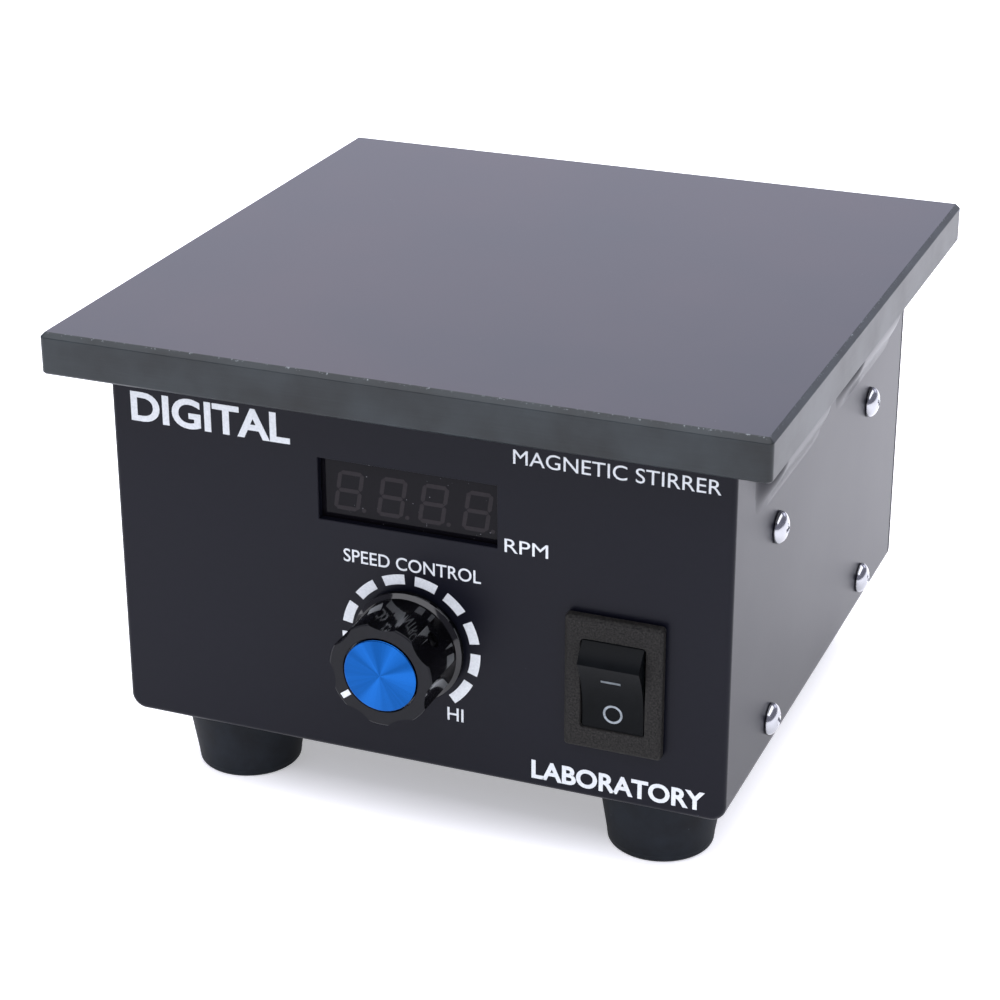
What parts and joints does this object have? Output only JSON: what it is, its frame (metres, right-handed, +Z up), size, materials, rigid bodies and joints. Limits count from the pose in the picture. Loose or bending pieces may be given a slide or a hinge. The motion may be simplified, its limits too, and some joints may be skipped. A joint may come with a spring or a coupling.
{
  "type": "magnetic stirrer",
  "caption": "Magnetic stirrer: square metal plate on a sheet-metal case with a digital display, speed knob and rocker switch; a motor spins a magnet rotor under the plate.",
  "frame": {"origin": "on the ground, in the middle of the object's overall width and depth", "axes": "+X to the object's right as seen from its front, +Y from the control panel to the rear, +Z up along the rotor's axis"},
  "size_m": [0.16, 0.165, 0.11],
  "materials": {
    "plate_slate_grey": "satin, faintly mottled slate grey",
    "case_black_paint": "semi-gloss black powder coat",
    "foot_black_rubber": "matt moulded rubber",
    "screw_chrome": "bright plated",
    "window_smoked_acrylic": "dark smoked, clear gloss",
    "display_grey_plastic": "dark grey moulded",
    "circuit_green": "green solder mask",
    "zinc_plated_steel": "dull zinc",
    "nickelled_brass": "nickel plated",
    "knob_gloss_black": "high gloss black",
    "cap_blue_anodised": "blue anodised, spun finish",
    "switch_black_nylon": "fine textured black",
    "tinned_copper": "tinned",
    "holder_white_nylon": "natural nylon",
    "magnet_ferrite": "ground ferrite",
    "cable_grey_pvc": "satin grey sheath"
  },
  "bodies": {
    "base": {"top_plate": "plate_slate_grey", "plate_screw_1": "zinc_plated_steel", "plate_screw_2": "zinc_plated_steel", "plate_screw_3": "zinc_plated_steel", "plate_screw_4": "zinc_plated_steel", "case_shell": "case_black_paint", "rear_panel": "case_black_paint", "side_screw_left_1": "screw_chrome", "side_screw_left_2": "screw_chrome", "side_screw_left_3": "screw_chrome", "side_screw_left_4": "screw_chrome", "side_screw_right_1": "screw_chrome", "side_screw_right_2": "screw_chrome", "side_screw_right_3": "screw_chrome", "side_screw_right_4": "screw_chrome", "rear_screw_1": "screw_chrome", "rear_screw_2": "screw_chrome", "rear_screw_3": "screw_chrome", "rear_screw_4": "screw_chrome", "power_jack": "switch_black_nylon", "power_jack_nut": "zinc_plated_steel", "rubber_foot_front_left": "foot_black_rubber", "rubber_foot_front_right": "foot_black_rubber", "rubber_foot_rear_left": "foot_black_rubber", "rubber_foot_rear_right": "foot_black_rubber", "foot_screw_front_left": "zinc_plated_steel", "foot_screw_front_right": "zinc_plated_steel", "foot_screw_rear_left": "zinc_plated_steel", "foot_screw_rear_right": "zinc_plated_steel", "display_window": "window_smoked_acrylic", "display_module": "display_grey_plastic", "display_board": "circuit_green", "controller_board": "circuit_green", "display_spacer_left": "nickelled_brass", "display_spacer_right": "nickelled_brass", "potentiometer": "nickelled_brass", "potentiometer_nut": "zinc_plated_steel", "switch_housing": "switch_black_nylon", "switch_terminal_1": "tinned_copper", "switch_terminal_2": "tinned_copper", "chassis_bridge": "zinc_plated_steel", "motor_bracket": "zinc_plated_steel", "motor_housing": "zinc_plated_steel", "motor_screw_1": "zinc_plated_steel", "motor_screw_2": "zinc_plated_steel", "board_standoff_1": "holder_white_nylon", "board_standoff_2": "holder_white_nylon", "board_standoff_3": "holder_white_nylon", "board_standoff_4": "holder_white_nylon", "motor_cable": "cable_grey_pvc", "display_cable": "cable_grey_pvc"},
    "knob": {"knob_body": "knob_gloss_black", "knob_set_screw": "zinc_plated_steel", "knob_cap": "cap_blue_anodised", "potentiometer_shaft": "zinc_plated_steel"},
    "rocker": {"switch_rocker": "switch_black_nylon"},
    "rotor": {"motor_shaft": "zinc_plated_steel", "magnet_holder": "holder_white_nylon", "drive_magnet_1": "magnet_ferrite", "drive_magnet_2": "magnet_ferrite"}
  },
  "joints": [
    {"name": "knob_turn", "type": "hinge", "parent": "base", "child": "knob", "pos_m": [-0.0006, -0.06635, 0.0466], "axis": [0, 1, 0], "range_deg": [-14, 266]},
    {"name": "switch_rock", "type": "hinge", "parent": "base", "child": "rocker", "pos_m": [0.0457, -0.06005, 0.046], "axis": [-1, 0, 0], "range_deg": [0, 25.2]},
    {"name": "rotor_spin", "type": "hinge", "parent": "base", "child": "rotor", "pos_m": [0, 0.00255, 0.08], "axis": [0, 0, 1], "continuous": true}
  ]
}
